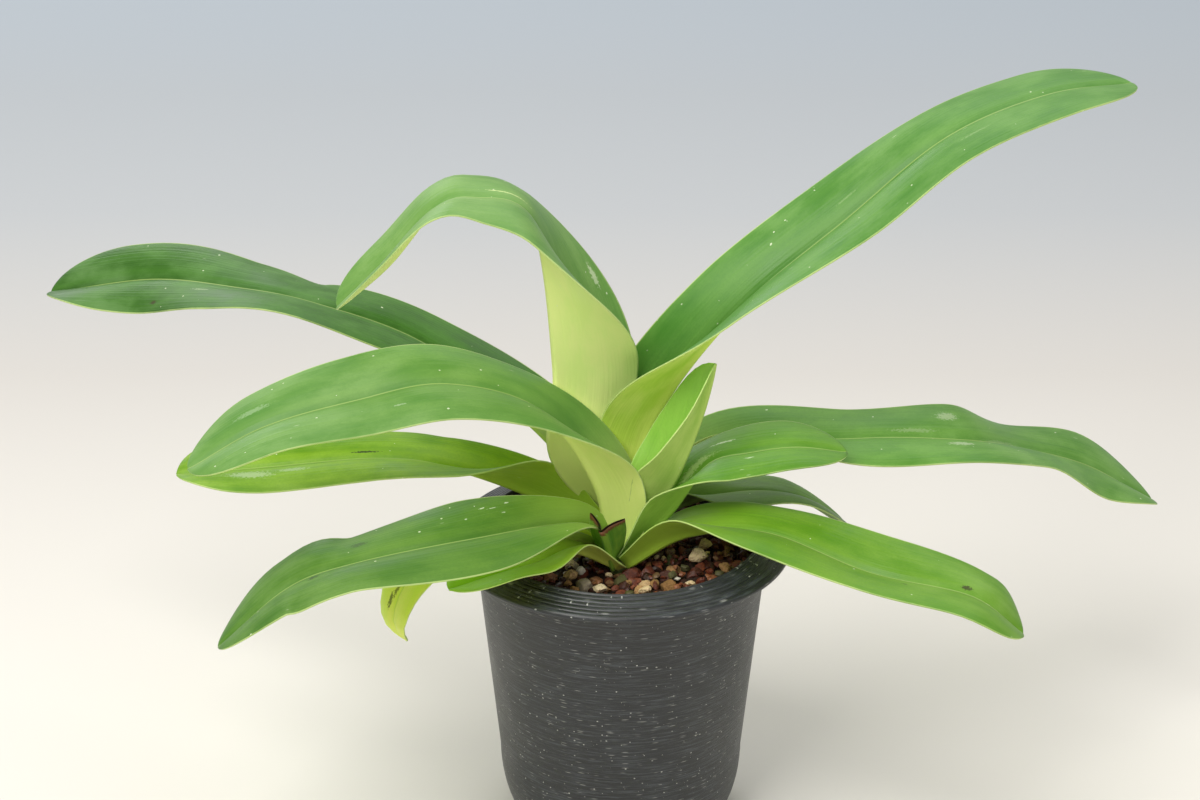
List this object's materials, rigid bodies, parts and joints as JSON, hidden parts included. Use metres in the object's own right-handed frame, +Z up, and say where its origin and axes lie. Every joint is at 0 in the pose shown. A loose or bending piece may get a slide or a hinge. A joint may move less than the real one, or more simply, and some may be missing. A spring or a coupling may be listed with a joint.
{
  "type": "potted slipper orchid",
  "caption": "Broad-leaved slipper orchid out of flower, with arching strap leaves, in a round dark plastic pot of bark and pumice mix.",
  "frame": {"origin": "centre of the pot's flat base, on the pot's axis, where the pot stands", "axes": "+Z up along the pot's axis; +X to the right along the plant's broad side, which is its longest direction; -Y towards the front, the side that the picture shows"},
  "size_m": [0.4144, 0.1857, 0.2557],
  "materials": {
    "pot_plastic": "satin",
    "bark_mix": "matte",
    "stem": "matte",
    "leaf_green": "satin",
    "leaf_yellow_green": "satin",
    "leaf_dark_green": "satin"
  },
  "bodies": {
    "root": {"pot": "pot_plastic", "potting_mix": "bark_mix", "stem": "stem", "leaf_centre_arched": "leaf_green", "leaf_upper_right": "leaf_green", "leaf_short_upright": "leaf_green", "leaf_front_left": "leaf_green", "leaf_short_right": "leaf_green", "leaf_back_left": "leaf_green", "leaf_far_right": "leaf_green", "leaf_mid_left": "leaf_green", "leaf_low_left": "leaf_green", "leaf_low_right": "leaf_green", "leaf_small_front": "leaf_yellow_green", "leaf_back_right": "leaf_dark_green", "leaf_hanging": "leaf_yellow_green", "cut_leaf_base": "leaf_green"}
  },
  "joints": []
}
